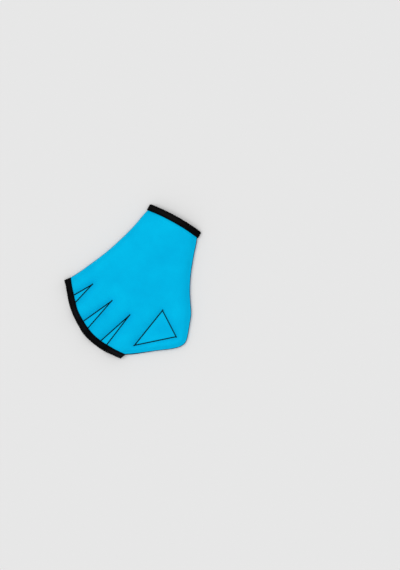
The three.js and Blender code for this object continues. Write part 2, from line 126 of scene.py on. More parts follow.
def finger_point(place, inside):
    """A point of the finger edge at a place from -1 to 1, at a depth inside its outer line."""
    place, inside = np.broadcast_arrays(np.asarray(place, float), np.asarray(inside, float))
    across = place * FINGER_CHORD / 2 - FINGER_LEAN * (1 + place) / 2 * inside
    out = FINGER_BULGE * (1 - place**2) * (1 - FINGER_SKEW * place) - inside
    c, s = math.cos(FINGER_TILT), math.sin(FINGER_TILT)
    return np.stack([across * c - out * s, across * s + out * c], -1) + FINGER_CENTRE


def wrist_point(place, inside):
    """The same for the wrist edge, on the panels' own width."""
    place, inside = np.broadcast_arrays(np.asarray(place, float), np.asarray(inside, float))
    across = place * (WRIST_WIDTH / 2 - TAPE_REACH)
    out = WRIST_BULGE * (1 - place**2) - inside
    c, s = math.cos(WRIST_TILT), math.sin(WRIST_TILT)
    return np.stack([across * c + out * s, -WRIST_DISTANCE + across * s - out * c], -1)


def bowed(start, end, bow, rows):
    """Points off the straight line between two ends, from rows of shares along it and of the bow."""
    way = end - start
    left = np.array([-way[1], way[0]]) / np.hypot(*way)
    return [start + way * along + left * bow * share for along, share in rows]


def resampled(points, step):
    """Points at even steps along a line of points."""
    lengths = np.concatenate([[0], np.cumsum(np.hypot(*np.diff(points, axis=0).T))])
    at = np.linspace(0, lengths[-1], max(2, int(round(lengths[-1] / step)) + 1))
    return np.stack([np.interp(at, lengths, points[:, k]) for k in range(points.shape[1])], -1)


def splined(points, step, samples=24):
    """A centripetal Catmull-Rom line through the points, at even steps."""
    p = np.array(points)
    p = np.vstack([2 * p[0] - p[1], p, 2 * p[-1] - p[-2]])
    knots = np.concatenate([[0], np.cumsum(np.hypot(*np.diff(p, axis=0).T) ** 0.5)])
    line = []
    for i in range(1, len(p) - 2):
        t0, t1, t2, t3 = knots[i - 1 : i + 3]
        t = np.linspace(t1, t2, samples, endpoint=False)[:, None]
        a1 = (t1 - t) / (t1 - t0) * p[i - 1] + (t - t0) / (t1 - t0) * p[i]
        a2 = (t2 - t) / (t2 - t1) * p[i] + (t - t1) / (t2 - t1) * p[i + 1]
        a3 = (t3 - t) / (t3 - t2) * p[i + 1] + (t - t2) / (t3 - t2) * p[i + 2]
        b1 = (t2 - t) / (t2 - t0) * a1 + (t - t0) / (t2 - t0) * a2
        b2 = (t3 - t) / (t3 - t1) * a2 + (t - t1) / (t3 - t1) * a3
        line.append((t2 - t) / (t2 - t1) * b1 + (t - t1) / (t2 - t1) * b2)
    return resampled(np.vstack(line + [p[-2:-1]]), step)


def bell(spread):
    """The weights of a bell curve, whose spread is given in steps, and its reach to each side."""
    reach = round(3 * spread)
    weights = np.exp(-((np.arange(-reach, reach + 1) / spread) ** 2) / 2)
    return weights / weights.sum(), reach


SIDE_SOFTNESS = 2.4
SOFT_STEPS = 4


def softened(line, step):
    """The line with its corners rounded, from the same two ends."""
    fine = resampled(line, SIDE_SOFTNESS / SOFT_STEPS)
    kernel, reach = bell(SOFT_STEPS)
    before, after = 2 * fine[0] - fine[reach:0:-1], 2 * fine[-1] - fine[-2 : -reach - 2 : -1]
    padded = np.vstack([before, fine, after])
    soft = np.stack([np.convolve(padded[:, k], kernel, "valid") for k in range(2)], -1)
    return resampled(soft, step)


POINTS_UNDER_TAPE = 5
SPLINE_STEP = 1


def full_side(place, middle, step):
    """A side's line from the wrist's edge under the tape to the fingers' edge under the tape."""
    count = POINTS_UNDER_TAPE + 1
    wrist = wrist_point(place, np.linspace(TAPE_REACH, WRIST_BINDING_WIDTH, count)[:-1])
    finger = finger_point(place, np.linspace(FINGER_BINDING_WIDTH, TAPE_REACH, count)[1:])
    return np.vstack([wrist, softened(splined(middle, SPLINE_STEP), step), finger])


def side_lines(step):
    """Both side seams, from the wrist to the fingers."""
    start, end = wrist_point(1, WRIST_BINDING_WIDTH), finger_point(1, FINGER_BINDING_WIDTH)
    little = [start, *bowed(start, end, LITTLE_SIDE_BOW, LITTLE_SIDE), end]
    start, end = wrist_point(-1, WRIST_BINDING_WIDTH), finger_point(-1, FINGER_BINDING_WIDTH)
    lower = bowed(start, THUMB_TIP, -THUMB_SIDE_BOW, THUMB_SIDE)
    upper = bowed(THUMB_TIP, end, -THUMB_EDGE_BOW, THUMB_EDGE)
    thumb = [start, *lower, THUMB_TIP, *upper, end]
    return full_side(1, little, step), full_side(-1, thumb, step)


# The sides that distances are measured from
SIDE_STEP = 5
LITTLE, THUMB = side_lines(SIDE_STEP)


def web_outline(web):
    """A web's tip, its right end, the same under the tape, and the same for its left end."""
    foot = finger_point((web["start"] + web["end"]) / 2, FINGER_BINDING_WIDTH)
    shift = (web["tip"] - (web["start"] + web["end"]) / 2) * FINGER_CHORD / 2
    back = math.sqrt((WEB_LENGTH * web["length"]) ** 2 - shift**2)
    c, s = math.cos(FINGER_TILT), math.sin(FINGER_TILT)
    tip = foot + np.array([shift * c + back * s, shift * s - back * c])
    ends = [finger_point(web[k], d) for k, d in (("end", FINGER_BINDING_WIDTH), ("end", 0),
                                                 ("start", 0), ("start", FINGER_BINDING_WIDTH))]
    return np.array([tip, *ends])


WEB_OUTLINES = [web_outline(web) for web in WEBS]


def to_line(p, points, closed=False):
    """The distance of each point of p from a line of points."""
    line = np.vstack([points, points[:1]]) if closed else points
    best = np.full(len(p), np.inf)
    for a, b in zip(line[:-1], line[1:]):
        way = b - a
        share = np.clip((p - a) @ way / (way @ way), 0, 1)
        best = np.minimum(best, np.hypot(*(p - a - share[:, None] * way).T))
    return best


def is_inside(p, outline):
    """Which points of p lie inside a closed outline."""
    inside = np.zeros(len(p), bool)
    for a, b in zip(outline, np.roll(outline, -1, axis=0)):
        if a[1] == b[1]:
            continue
        crosses = (a[1] > p[:, 1]) != (b[1] > p[:, 1])
        inside ^= crosses & (p[:, 0] < (b[0] - a[0]) * (p[:, 1] - a[1]) / (b[1] - a[1]) + a[0])
    return inside


def to_patch(p, outline):
    """The distance of each point of p from a patch, 0 on the patch."""
    return np.where(is_inside(p, outline), 0, to_line(p, outline, closed=True))


def sharp_openness(p):
    """How far the two panels stand apart, from 0 on seams and webs to near 1 in the palm."""
    distances = [to_line(p, side) - SEAM_BAND for side in (LITTLE, THUMB)]
    distances += [to_patch(p, outline) for outline in (*WEB_OUTLINES, THUMB_WEB)]
    distances = np.maximum(np.array(distances), 1e-6)
    blended = (distances**-BLEND).sum(axis=0) ** (-1 / BLEND)
    return 1 - np.exp(-((blended / RISE_LENGTH) ** RISE_POWER))


# Neoprene bends softly over a stitched line, so the openness is blurred over a fine grid
GRID_STEP = 0.6
GRID_BLUR = 1.0
GRID_MARGIN = 8


def openness_grid():
    """The grid's first corner, and the blurred openness at its points."""
    around = np.vstack([LITTLE, THUMB, finger_point(np.linspace(-1, 1, 40), 0), wrist_point(0, 0)[None]])
    low, high = around.min(axis=0) - GRID_MARGIN, around.max(axis=0) + GRID_MARGIN
    xs, ys = (np.arange(low[k], high[k], GRID_STEP) for k in range(2))
    points = np.stack(np.meshgrid(xs, ys, indexing="ij"), -1)
    values = sharp_openness(points.reshape(-1, 2)).reshape(points.shape[:2])
    kernel, _ = bell(GRID_BLUR / GRID_STEP)
    for axis in range(2):
        values = np.apply_along_axis(np.convolve, axis, values, kernel, "same")
    return low, values


GRID_CORNER, GRID_VALUES = openness_grid()


def openness(p):
    """The blurred openness at points of the plan, between the grid's points."""
    at = (p - GRID_CORNER) / GRID_STEP
    cell = np.clip(at.astype(int), 0, np.array(GRID_VALUES.shape) - 2)
    (i, j), (u, v) = cell.T, (at - cell).T
    near = mix(GRID_VALUES[i, j], GRID_VALUES[i + 1, j], u)
    return mix(near, mix(GRID_VALUES[i, j + 1], GRID_VALUES[i + 1, j + 1], u), v)


PLACE_ROUNDS = 4


def finger_coordinates(p):
    """The place along the finger edge of each point, and its depth inside it."""
    c, s = math.cos(FINGER_TILT), math.sin(FINGER_TILT)
    x, y = (p - FINGER_CENTRE).T
    across, out = x * c + y * s, y * c - x * s
    place = across / (FINGER_CHORD / 2)
    for _ in range(PLACE_ROUNDS):
        inside = FINGER_BULGE * (1 - place**2) * (1 - FINGER_SKEW * place) - out
        shallow = np.minimum(inside, FINGER_BINDING_WIDTH + PEEK_FADE)
        place = (across + FINGER_LEAN * (1 + place) / 2 * shallow) / (FINGER_CHORD / 2)
    return place, inside


def wrist_coordinates(p):
    """The place along the wrist edge of each point, and its depth inside it."""
    c, s = math.cos(WRIST_TILT), math.sin(WRIST_TILT)
    x, y = p[:, 0], p[:, 1] + WRIST_DISTANCE
    place = (x * c + y * s) / (WRIST_WIDTH / 2 - TAPE_REACH)
    return place, WRIST_BULGE * (1 - place**2) + y * c - x * s


def stray(place, column):
    """How far the bound finger edge runs inside its even curve: column 1 outside, 2 at the inner edge."""
    rows = np.array(FINGER_STRAY)
    return np.interp(place, rows[:, 0], rows[:, column])


def pressed(inside, width):
    """How much the tape presses the cloth: 1 under it, 0 further inside."""
    return 1 - smooth((inside - width - CLEARANCE) / PRESS_LENGTH)


def cloth(p):
    """The middle heights of the palm and back panels, and their thickness, at points of the plan."""
    finger_place, finger_inside = finger_coordinates(p)
    wrist_place, wrist_inside = wrist_coordinates(p)
    finger_depth, wrist_depth = FINGER_BINDING_WIDTH + CLEARANCE, WRIST_BINDING_WIDTH + CLEARANCE
    form = np.where((wrist_inside < wrist_depth)[:, None], wrist_point(wrist_place, wrist_depth), p)
    at_finger = (finger_inside < finger_depth)[:, None]
    form = np.where(at_finger, finger_point(finger_place, finger_depth), form)
    opened = openness(form)
    finger, wrist = pressed(finger_inside, FINGER_BINDING_WIDTH), pressed(wrist_inside, WRIST_BINDING_WIDTH)
    sewn = 1 - np.clip(np.minimum(to_line(form, LITTLE), to_line(form, THUMB)) / SEWN_WIDTH, 0, 1)
    thickness = mix(mix(PANEL_THICKNESS, SEAM_THICKNESS, sewn), BOUND_THICKNESS, np.maximum(finger, wrist))
    stack = BOUND_THICKNESS + 2 * TAPE_REACH
    half_closed = (mix(TOUCH, CLEARANCE, finger) + mix(thickness, stack, finger)) / 2
    down = smooth(opened / FLOOR_OPENNESS)
    palm = mix(SEAM_HEIGHT - half_closed, mix(thickness, stack, np.maximum(finger, wrist)) / 2, down)
    back = SEAM_HEIGHT + half_closed + DOME_HEIGHT * opened
    return {"palm": palm, "back": back, "thickness": thickness}


SLOPE_STEP = 0.25


def upright_half(p, panel, here):
    """Half of the panel's thickness measured upright where it slopes."""
    slopes = [
        (cloth(p + way)[panel] - cloth(p - way)[panel]) / (2 * SLOPE_STEP)
        for way in (np.array([SLOPE_STEP, 0]), np.array([0, SLOPE_STEP]))
    ]
    return here["thickness"] / 2 * np.sqrt(1 + slopes[0] ** 2 + slopes[1] ** 2)


def slid(p, panel):
    """The palm panel reaches further out at the finger edge."""
    if panel == "back":
        return p
    place, inside = finger_coordinates(p)
    share = 1 - smooth((inside - FINGER_BINDING_WIDTH) / PEEK_FADE)
    way = finger_point(place, inside - PALM_PEEK) - finger_point(place, inside)
    return p + way * share[:, None]


# Stitch lines
STITCH_OVERRUN = 1.2
SHARE_UNDER_TAPE = 0.3
GROOVE_DEPTH = 0.4
GROOVE_WIDTH = 0.9
QUILT_RISE = 0.3
QUILT_WIDTH = 1.6


def stitch_lines():
    """The ends of every straight line of stitches: two for each web, three round the thumb's."""
    lines = []
    for tip, right, under_right, under_left, left in WEB_OUTLINES:
        for end, under in ((right, under_right), (left, under_left)):
            way = (tip - end) / np.hypot(*(tip - end))
            lines.append((mix(end, under, SHARE_UNDER_TAPE), tip + way * STITCH_OVERRUN))
    for a, b in zip(THUMB_WEB, np.roll(THUMB_WEB, -1, axis=0)):
        way = (b - a) / np.hypot(*(b - a))
        lines.append((a - way * STITCH_OVERRUN / 2, b + way * STITCH_OVERRUN))
    return lines


STITCH_LINES = stitch_lines()


def relief(p):
    """How the outer faces rise between the stitch lines of a web and dip along them."""
    distance = np.min([to_line(p, np.array(line)) for line in STITCH_LINES], axis=0)
    inside = np.any([is_inside(p, outline) for outline in (*WEB_OUTLINES, THUMB_WEB)], axis=0)
    quilt = np.where(inside, QUILT_RISE * (1 - np.exp(-distance / QUILT_WIDTH)), 0)
    return quilt - GROOVE_DEPTH * np.exp(-((distance / GROOVE_WIDTH) ** 2))


EDGE_ROUND = 1.4
EDGE_DROP = 0.3
RIPPLE = 0.2
RIPPLE_MARGIN = 12
RIPPLES = [(0.11, 0.05, 0.4), (-0.06, 0.135, 1.9), (0.17, -0.11, 3.1), (0.09, 0.21, 5.0)]


def ripple(p):
    """Soft undulation of the open cloth, as a sum of long waves, each of two wave numbers and a phase."""
    waves = [np.sin(p @ np.array([kx, ky]) + phase) for kx, ky, phase in RIPPLES]
    return RIPPLE * np.sum(waves, axis=0) / len(RIPPLES) ** 0.5


def panel_faces(p, panel):
    """The outer and inner heights of a panel at points of the plan."""
    here = cloth(p)
    half = upright_half(p, panel, here)
    outward = 1 if panel == "back" else -1
    side = np.minimum(to_line(p, LITTLE), to_line(p, THUMB))
    into = np.clip(1 - side / EDGE_ROUND, 0, 1)
    drop = EDGE_DROP * (1 - np.sqrt(1 - into**2))
    _, finger_inside = finger_coordinates(p)
    _, wrist_inside = wrist_coordinates(p)
    free = np.clip((finger_inside - FINGER_BINDING_WIDTH) / PRESS_LENGTH, 0, 1)
    free_at_wrist = np.clip((wrist_inside - WRIST_BINDING_WIDTH) / PRESS_LENGTH, 0, 1)
    open_cloth = free * free_at_wrist * smooth(side / RIPPLE_MARGIN)
    middle = here[panel]
    if panel == "back":
        middle = middle + ripple(p) * open_cloth
    outer = middle + outward * (half + relief(p) * free - drop)
    return outer, middle - outward * half


# Mesh making
def make_mesh(name, points, faces, slots=None, materials=(), uvs=None):
    """A smooth-shaded piece from points in millimetres, with a material slot for each face."""
    mesh = bpy.data.meshes.new(name)
    mesh.from_pydata((np.asarray(points) * MM).tolist(), [], [list(map(int, f)) for f in faces])
    for material in materials:
        mesh.materials.append(material)
    if slots is not None:
        mesh.polygons.foreach_set("material_index", np.asarray(slots, np.int32))
    if uvs is not None:
        layer = mesh.uv_layers.new(name="UVMap")
        corners = np.zeros(len(mesh.loops), np.int32)
        mesh.loops.foreach_get("vertex_index", corners)
        layer.data.foreach_set("uv", np.asarray(uvs, np.float32)[corners].ravel())
    mesh.polygons.foreach_set("use_smooth", np.ones(len(mesh.polygons), bool))
    mesh.validate()
    mesh.update()
    piece = bpy.data.objects.new(name, mesh)
    bpy.context.scene.collection.objects.link(piece)
    return piece


BORDER_STEP = 1.2
LATTICE_STEP = 1.6
LEAST_GAP = 0.4
LATTICE_GAP = LATTICE_STEP * 0.55
ROW_END = 6
WRIST_POINTS = 80
FINGER_POINTS = 130

# The distances of rows of points: to both sides of a stitch line, inside a side seam, and inside the
# wrist's and the fingers' edges, where the tape ends and the cloth rises
LINE_ROWS = (0, -0.55, 0.55, -1.2, 1.2)
SIDE_ROWS = (1.3, 1.7, 2.2, 2.9)
WRIST_ROWS = (4.5, 8.4, 9.4, 10.4, 11.5)
FINGER_ROWS = (4.5, 8.2, 9.2, 10.2, 11.3)
# The places of the points in a row along the wrist and along the fingers
WRIST_PLACES = np.linspace(-0.97, 0.97, 60)
FINGER_PLACES = np.linspace(-0.985, 0.985, 100)


def offset_rows(line, rows):
    """Lines beside a line, at distances to its left."""
    way = np.gradient(line, axis=0)
    left = np.stack([-way[:, 1], way[:, 0]], -1) / np.hypot(*way.T)[:, None]
    return [line + left * row for row in rows]


def double_area(points, face):
    """Twice the area of a triangle of the plan, negative where it turns clockwise."""
    a, b, c = (points[i] for i in face)
    return (b[0] - a[0]) * (c[1] - a[1]) - (c[0] - a[0]) * (b[1] - a[1])


def plan_mesh():
    """Fine triangles over the plan, with rows of points along the seams, stitches and tapes."""
    little, thumb = side_lines(BORDER_STEP)
    across = np.linspace(-1, 1, WRIST_POINTS)
    fingers = np.linspace(1, -1, FINGER_POINTS)
    outline = np.vstack([
        wrist_point(across, TAPE_REACH)[:-1], little[:-1],
        finger_point(fingers, TAPE_REACH + stray(fingers, 1))[:-1], thumb[::-1][:-1],
    ])
    fixed = []
    for line, turn in ((little, 1), (thumb, -1)):
        fixed += [row[ROW_END:-ROW_END] for row in offset_rows(line, [turn * d for d in SIDE_ROWS])]
    for a, b in STITCH_LINES:
        line = resampled(np.array([a, b]), BORDER_STEP)
        fixed += offset_rows(line, LINE_ROWS)
    fixed += [finger_point(FINGER_PLACES, depth) for depth in FINGER_ROWS]
    fixed += [wrist_point(WRIST_PLACES, depth) for depth in WRIST_ROWS]
    low, high = outline.min(axis=0), outline.max(axis=0)
    row_step = LATTICE_STEP * math.sin(math.pi / 3)
    rows, columns = np.meshgrid(np.arange(low[1], high[1], row_step),
                                np.arange(low[0], high[0], LATTICE_STEP), indexing="ij")
    columns = columns + (np.arange(len(rows)) % 2)[:, None] * LATTICE_STEP / 2
    lattice = np.stack([columns.ravel(), rows.ravel()], -1)
    points = thinned(np.vstack(fixed), outline, LEAST_GAP)
    lattice = thinned(lattice, np.vstack([outline, points]), LATTICE_GAP, among=False)
    points = np.vstack([points, lattice])
    points = points[is_inside(points, outline)]
    every = np.vstack([outline, points])
    ring = [(i, (i + 1) % len(outline)) for i in range(len(outline))]
    done, _, faces, *_ = delaunay_2d_cdt([tuple(map(float, p)) for p in every], ring, [], 1, 1e-5)
    faces = np.array([f if double_area(done, f) > 0 else f[::-1] for f in faces])
    return np.array([tuple(p) for p in done]), faces


def thinned(points, taken, least, among=True):
    """The points that keep a distance from those taken, and from each other."""
    grid = {}

    def key(p):
        return int(p[0] // least), int(p[1] // least)

    for p in taken:
        grid.setdefault(key(p), []).append(p)
    kept = []
    for p in points:
        i, j = key(p)
        near = [q for di in (-1, 0, 1) for dj in (-1, 0, 1) for q in grid.get((i + di, j + dj), ())]
        if all((p[0] - q[0]) ** 2 + (p[1] - q[1]) ** 2 >= least**2 for q in near):
            kept.append(p)
            if among:
                grid.setdefault((i, j), []).append(p)
    return np.array(kept)


PLAN_POINTS, PLAN_FACES = plan_mesh()
OUTER, CORE, INNER = range(3)


# The cut edge of a panel from its outer face to its inner face: the share of how far it is drawn in,
# the share of the height, and the layer above it. The jersey shrinks back and the foam bulges past
# it. On the back panel the thumb side is cut at more of a slant, which shows a wider band of black
# foam: partly the foam's own edge, partly painted shade along the side away from the light.
CUT_EDGE = [
    (1.0, 0.0, None), (0.86, 0.13, OUTER), (0.3, 0.24, CORE), (0.0, 0.55, CORE),
    (0.1, 0.8, CORE), (0.3, 0.87, CORE), (0.4, 1.0, INNER),
]
LITTLE_CUT = 0.3
THUMB_CUT_AND_PAINTED_SHADE = 0.8


def outline_rim(faces):
    """The open edges of the plan's triangles, in one ring."""
    edges = {(a, b) for f in faces.tolist() for a, b in zip(f, f[1:] + f[:1])}
    after = {a: b for a, b in edges if (b, a) not in edges}
    ring = [next(iter(sorted(after)))]
    while after[ring[-1]] != ring[0]:
        ring.append(after[ring[-1]])
    return np.array(ring)


def panel_piece(panel, node, materials):
    """A neoprene panel: its outer jersey, its inner jersey and the black foam between at the cut."""
    p = PLAN_POINTS
    count = len(p)
    outward = 1 if panel == "back" else -1
    outer, inner = panel_faces(p, panel)
    at = slid(p, panel)
    ring = outline_rim(PLAN_FACES)
    way = np.roll(at[ring], -1, axis=0) - np.roll(at[ring], 1, axis=0)
    inwards = np.stack([-way[:, 1], way[:, 0]], -1) / np.hypot(*way.T)[:, None]
    # On the back panel's thumb side the wider black foam band is partly painted shade, away from the light
    at_thumb = to_line(p[ring], THUMB) < BORDER_STEP / 4
    inwards *= np.where(at_thumb & (panel == "back"), THUMB_CUT_AND_PAINTED_SHADE, LITTLE_CUT)[:, None]
    outer_at, inner_at = at.copy(), at.copy()
    outer_at[ring] += inwards * CUT_EDGE[0][0]
    inner_at[ring] += inwards * CUT_EDGE[-1][0]
    rows = [
        np.column_stack([at[ring] + inwards * drawn, mix(outer, inner, share)[ring]])
        for drawn, share, _ in CUT_EDGE[1:-1]
    ]
    points = np.vstack([np.column_stack([outer_at, outer]), np.column_stack([inner_at, inner]), *rows])
    top = PLAN_FACES if outward > 0 else PLAN_FACES[:, ::-1]
    faces = top.tolist() + (top[:, ::-1] + count).tolist()
    slots = [OUTER] * len(top) + [INNER] * len(top)
    size = len(ring)
    levels = [ring, *(2 * count + k * size + np.arange(size) for k in range(len(rows))), ring + count]
    for above, below, (_, _, slot) in zip(levels[:-1], levels[1:], CUT_EDGE[1:]):
        quads = np.stack([above, below, np.roll(below, -1), np.roll(above, -1)], -1)
        faces += (quads if outward > 0 else quads[:, ::-1]).tolist()
        slots += [slot] * size
    piece = make_mesh(panel + "_cloth", points, faces, slots, materials)
    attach(piece, "root")
    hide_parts(node)
    return piece


# Ribbed tape
RIB_PITCH = 0.95
RIB_HEIGHT = 0.08
RIB_STEPS = 4
PUCKER_PITCH = 3.4
PUCKER_HEIGHT = 0.17
FOLD_REACH = TAPE_REACH - TAPE_THICKNESS / 2
SEAM_ROW = 1.9
SEAM_SINK = 0.16
SEAM_SINK_WIDTH = 0.7
LEG_ROWS = 15
FOLD_ROWS = 7

# The tape is thinner by a share at its woven edges, over a short width
EDGE_THINNING = 0.45
EDGE_THINNING_WIDTH = 0.35

# The puckers reach a few rows to both sides of the fold, and grow and shrink every few puckers
PUCKER_REACH = 4.5
UNEVEN_SHARE = 0.3
UNEVEN_PERIOD = 3.3


def strip_profile(width):
    """The strip's middle line from its outer leg round the fold to its inner leg: the depth inside
    the edge, and the side of the cloth from 1 outside to -1 inside."""
    legs = np.linspace(0, 1, LEG_ROWS)
    fold = np.linspace(0, math.pi, FOLD_ROWS + 2)[1:-1]
    rows = [(mix(width, TAPE_REACH, s), 1.0) for s in legs]
    rows += [(TAPE_REACH - FOLD_REACH * math.sin(a), math.cos(a)) for a in fold]
    rows += [(mix(TAPE_REACH, width * INNER_LEG_SHARE, s), -1.0) for s in legs]
    return rows


FOLD_ROW = LEG_ROWS + FOLD_ROWS // 2
DENSE_POINTS = 2000


def outward_ways(middles, closed):
    """The unit ways out of the strip's outer face, which at the fold point away from its legs."""
    along = np.roll(middles, -1, axis=0) - np.roll(middles, 1, axis=0)
    if not closed:
        along[0], along[-1] = middles[1] - middles[0], middles[-1] - middles[-2]
    normal = np.cross(along, np.gradient(middles, axis=1))
    normal /= np.linalg.norm(normal, axis=2, keepdims=True)
    away = middles[:, FOLD_ROW] - middles[:, 0]
    return normal if (normal[:, FOLD_ROW] * away).sum() > 0 else -normal


def tape_lengths(middles, closed):
    """The length along the fold at each loop, and the whole length."""
    steps = np.linalg.norm(np.diff(middles[:, FOLD_ROW], axis=0), axis=1)
    lengths = np.concatenate([[0], np.cumsum(steps)])
    whole = lengths[-1] + (np.linalg.norm(middles[0, FOLD_ROW] - middles[-1, FOLD_ROW]) if closed else 0)
    return lengths, whole


def ribbed(middles, width, closed):
    """The outer and inner faces of the tape, as loops round its section, and the outward ways."""
    normal = outward_ways(middles, closed)
    lengths, whole = tape_lengths(middles, closed)
    rows = middles.shape[1]
    depth = np.array([d for d, _ in strip_profile(width)])
    outer_leg = np.arange(rows) < LEG_ROWS
    from_edge = np.where(outer_leg, width, width * INNER_LEG_SHARE) - depth
    fade = 1 - EDGE_THINNING * np.exp(-from_edge / EDGE_THINNING_WIDTH)
    fade[LEG_ROWS : rows - LEG_ROWS] = 1
    ribs, puckers = round(whole / RIB_PITCH), round(whole / PUCKER_PITCH)
    turn = np.pi * lengths / whole
    rib = RIB_HEIGHT * np.abs(np.sin(turn * ribs))[:, None]
    near_fold = np.exp(-(((np.arange(rows) - FOLD_ROW) / PUCKER_REACH) ** 2))[None, :]
    uneven = 1 - UNEVEN_SHARE + UNEVEN_SHARE * np.sin(2 * turn * round(puckers / UNEVEN_PERIOD))
    pucker = PUCKER_HEIGHT * (uneven * (np.cos(2 * turn * puckers) - 1))[:, None] * near_fold
    sunk = SEAM_SINK * np.exp(-(((width - depth - SEAM_ROW) / SEAM_SINK_WIDTH) ** 2)) * outer_leg
    half = TAPE_THICKNESS / 2 * fade
    outer = middles + normal * (half + (rib + pucker) * fade - sunk)[:, :, None]
    inner = middles - normal * half[None, :, None]
    return np.concatenate([outer, inner[:, ::-1]], axis=1), normal


def loops_to_faces(count, size, closed):
    """Quads between neighbouring loops of a given size, and flat ends on an open tape."""
    here = np.arange(count if closed else count - 1)[:, None] * size
    after = (here + size) % (count * size)
    j, k = np.arange(size), (np.arange(size) + 1) % size
    faces = np.stack([here + j, here + k, after + k, after + j], -1).reshape(-1, 4).tolist()
    if not closed:
        last = (count - 1) * size
        for j in range(size // 2 - 1):
            k = size - 1 - j
            faces.append([j, k, k - 1, j + 1])
            faces.append([last + j, last + j + 1, last + k - 1, last + k])
    return faces


def tape_piece(name, node, middles, width, closed, material):
    """A tape, and the line of its seam with the outward ways there. No part of it is under the floor."""
    loops, normal = ribbed(middles, width, closed)
    loops[:, :, 2] = np.maximum(loops[:, :, 2], 0)
    count, size = loops.shape[:2]
    lengths, _ = tape_lengths(middles, closed)
    depth = np.array([d for d, _ in strip_profile(width)])
    across = np.concatenate([depth, depth[::-1]])
    uvs = np.stack(np.broadcast_arrays(lengths[:, None], across[None, :]), -1) * MM
    piece = make_mesh(name, loops.reshape(-1, 3), loops_to_faces(count, size, closed), None, [material],
                      uvs.reshape(-1, 2))
    outward_faces(piece)
    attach(piece, "root")
    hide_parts(node)
    row = int(np.argmin(np.abs(depth[:LEG_ROWS] - (width - SEAM_ROW))))
    return piece, loops[:, row], normal[:, row]


def outward_faces(piece):
    """Turns all faces of a closed piece outwards."""
    mesh = piece.data
    points = np.empty(len(mesh.vertices) * 3)
    mesh.vertices.foreach_get("co", points)
    mesh.calc_loop_triangles()
    corners = np.empty(len(mesh.loop_triangles) * 3, np.int32)
    mesh.loop_triangles.foreach_get("vertices", corners)
    a, b, c = points.reshape(-1, 3)[corners.reshape(-1, 3)].transpose(1, 0, 2)
    if (a * np.cross(b, c)).sum() < 0:
        mesh.flip_normals()


def finger_tape(panel, name, node, material):
    """A strip of tape folded over one panel's finger edge."""
    outward = 1 if panel == "back" else -1
    dense = np.linspace(-1, 1, DENSE_POINTS)
    line = finger_point(dense, 0)
    length = np.concatenate([[0], np.cumsum(np.hypot(*np.diff(line, axis=0).T))])
    count = int(length[-1] / RIB_PITCH * RIB_STEPS)
    places = np.interp(np.linspace(0, length[-1], count), length, dense)
    columns = []
    for depth, side in strip_profile(FINGER_BINDING_WIDTH):
        inside = depth + mix(stray(places, 1), stray(places, 2), depth / FINGER_BINDING_WIDTH)
        under = finger_point(places, np.maximum(inside, TAPE_REACH + stray(places, 1)))
        here = cloth(under)
        half = upright_half(under, panel, here) + CLEARANCE / 2 + TAPE_THICKNESS / 2
        at = slid(finger_point(places, inside), panel)
        columns.append(np.column_stack([at, here[panel] + outward * side * half]))
    middles = np.stack(columns, axis=1)
    return tape_piece(name, node, middles, FINGER_BINDING_WIDTH, False, material)


# How far the tape bulges past the side of the wrist, in reaches of the tape, outside and inside
OUTER_BULGE = 0.62
INNER_BULGE = 0.35
TURN_POINTS = 24
SHARES_TRIED = 129


def wrist_loop(inside, outside, places, turn_angles):
    """A loop round the wrist opening at one depth: over the back, round a side, under the palm."""
    depth = max(inside, TAPE_REACH)
    share = 1 if outside else opening_share(depth)

    def face(place, panel):
        under = wrist_point(place * share, depth)
        here = cloth(under)
        half = upright_half(under, panel, here) + CLEARANCE / 2 + TAPE_THICKNESS / 2
        away = 1 if (panel == "back") == outside else -1
        return np.column_stack([wrist_point(place * share, inside), here[panel] + away * half])

    c, s = math.cos(WRIST_TILT), math.sin(WRIST_TILT)
    bulge = TAPE_REACH * (OUTER_BULGE if outside else INNER_BULGE)

    def turn(top, bottom, way):
        drop = (1 - np.cos(turn_angles)) / 2
        out = way * bulge * np.sin(turn_angles)
        return mix(top, bottom, drop[:, None]) + out[:, None] * np.array([c, s, 0])

    back, palm = face(places, "back"), face(places[::-1], "palm")
    return np.vstack([back, turn(back[-1], palm[0], 1), palm, turn(palm[-1], back[0], -1)])


def opening_share(depth):
    """The share of the wrist's width where both inner legs of the tape find room."""
    shares = np.linspace(0, 1, SHARES_TRIED)
    clear = []
    for sign in (1, -1):
        here = cloth(wrist_point(sign * shares, depth))
        clear.append(here["back"] - here["palm"] - here["thickness"])
    return shares[np.minimum(*clear) > 3 * TAPE_REACH][-1]


def wrist_tape(material):
    """The closed ring of tape folded over both panels at the wrist."""
    places = np.linspace(-1, 1, int(WRIST_WIDTH / RIB_PITCH * RIB_STEPS))
    angles = np.linspace(0, math.pi, TURN_POINTS + 2)[1:-1]
    columns = []
    for inside, side in strip_profile(WRIST_BINDING_WIDTH):
        outer = wrist_loop(inside, True, places, angles)
        inner = wrist_loop(inside, False, places, angles)
        columns.append(mix(inner, outer, (1 + side) / 2))
    middles = np.stack(columns, axis=1)
    return tape_piece("wrist_tape", "wrist_binding", middles, WRIST_BINDING_WIDTH, True, material)


# Thread
STITCH_GAP = 0.06
THREAD_SIDES = 16
THREAD_STEPS = 21
THREAD_FLATNESS = 0.72
THREAD_THINNING = 0.16
THREAD_LIFT = 0.35
PLY_DEPTH = 0.26
PLY_GROOVE = 0.6
PLY_LAY = 2.2


